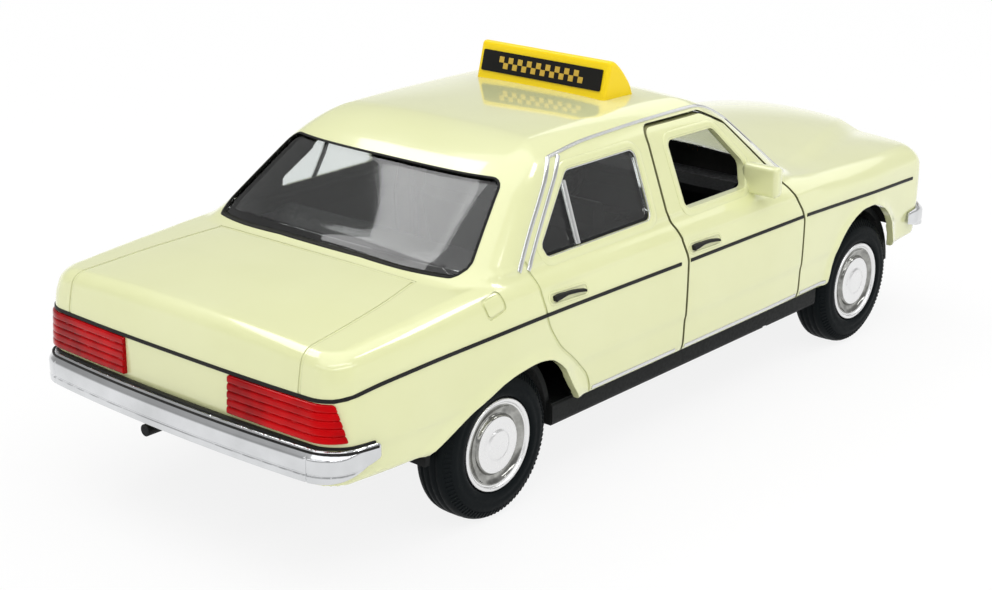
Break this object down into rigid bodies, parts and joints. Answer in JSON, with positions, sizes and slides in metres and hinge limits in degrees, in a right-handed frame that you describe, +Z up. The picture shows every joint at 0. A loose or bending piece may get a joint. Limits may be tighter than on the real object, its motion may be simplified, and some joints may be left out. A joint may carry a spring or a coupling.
{
  "type": "toy taxi",
  "caption": "Small die-cast taxi saloon with hinged front doors, roof sign, chrome bumpers, clear windows and a geared pull-back motor on the rear axle.",
  "frame": {"origin": "on the ground under the middle of the car, between the bumpers' outer faces and midway between the mirrors", "axes": "+Z up, the nose towards -Y and the tail towards +Y, the car's left side towards +X"},
  "size_m": [0.0492, 0.1174, 0.0415],
  "materials": {
    "paint": "glossy ivory enamel on a die-cast zinc body",
    "clear": "clear moulded plastic",
    "base": "black moulded base",
    "interior": "black moulded interior",
    "chrome": "vacuum-plated plastic",
    "rim": "vacuum-plated plastic wheel",
    "lamp_clear": "clear ribbed lens",
    "lamp_orange": "tinted lens",
    "lamp_red": "ribbed tinted lens",
    "sign_yellow": "yellow moulded plastic",
    "sign_black": "black printed panel",
    "tyre": "black rubber",
    "steel": "bright steel",
    "gear": "natural white plastic"
  },
  "bodies": {
    "car": {"body_shell": "paint", "glazing": "clear", "chassis": "base", "interior_tub": "interior", "steering_wheel": "interior", "front_bumper": "chrome", "rear_bumper": "chrome", "grille": "chrome", "headlamp_left": "lamp_clear", "headlamp_right": "lamp_clear", "indicator_left": "lamp_orange", "indicator_right": "lamp_orange", "tail_lamp_left": "lamp_red", "tail_lamp_right": "lamp_red", "roof_sign": "sign_yellow", "sign_panel": "sign_black", "motor_case_left": "base", "motor_case_right": "base", "spring_arbor": "steel", "base_screws": "steel"},
    "left_door": {"front_door_left": "paint", "door_mirror_left": "paint"},
    "right_door": {"front_door_right": "paint", "door_mirror_right": "paint"},
    "front_wheels": {"front_axle": "steel", "front_tyre_left": "tyre", "front_tyre_right": "tyre", "front_rim_left": "rim", "front_rim_right": "rim"},
    "rear_wheels": {"rear_axle": "steel", "axle_pinion": "gear", "rear_tyre_left": "tyre", "rear_tyre_right": "tyre", "rear_rim_left": "rim", "rear_rim_right": "rim"},
    "idler": {"idler_gear": "gear"},
    "barrel": {"spring_barrel": "gear", "mainspring": "steel"}
  },
  "joints": [
    {"name": "left_door_hinge", "type": "hinge", "parent": "car", "child": "left_door", "pos_m": [0.0202, -0.0181, 0.015], "axis": [0, 0, -1], "range_deg": [0, 60]},
    {"name": "right_door_hinge", "type": "hinge", "parent": "car", "child": "right_door", "pos_m": [-0.0202, -0.0181, 0.015], "axis": [0, 0, 1], "range_deg": [0, 60]},
    {"name": "front_axle_spin", "type": "hinge", "parent": "car", "child": "front_wheels", "pos_m": [0, -0.0386, 0.00825], "axis": [1, 0, 0], "continuous": true},
    {"name": "rear_axle_spin", "type": "hinge", "parent": "car", "child": "rear_wheels", "pos_m": [0, 0.0324, 0.00825], "axis": [1, 0, 0], "continuous": true},
    {"name": "idler_spin", "type": "hinge", "parent": "car", "child": "idler", "pos_m": [0, 0.0273, 0.01063], "axis": [1, 0, 0], "continuous": true},
    {"name": "barrel_spin", "type": "hinge", "parent": "car", "child": "barrel", "pos_m": [0, 0.02147, 0.01063], "axis": [1, 0, 0], "continuous": true}
  ],
  "couplings": [
    {"joint": "idler_spin", "follows": "rear_axle_spin", "ratio": -0.55556},
    {"joint": "barrel_spin", "follows": "rear_axle_spin", "ratio": 0.25}
  ]
}
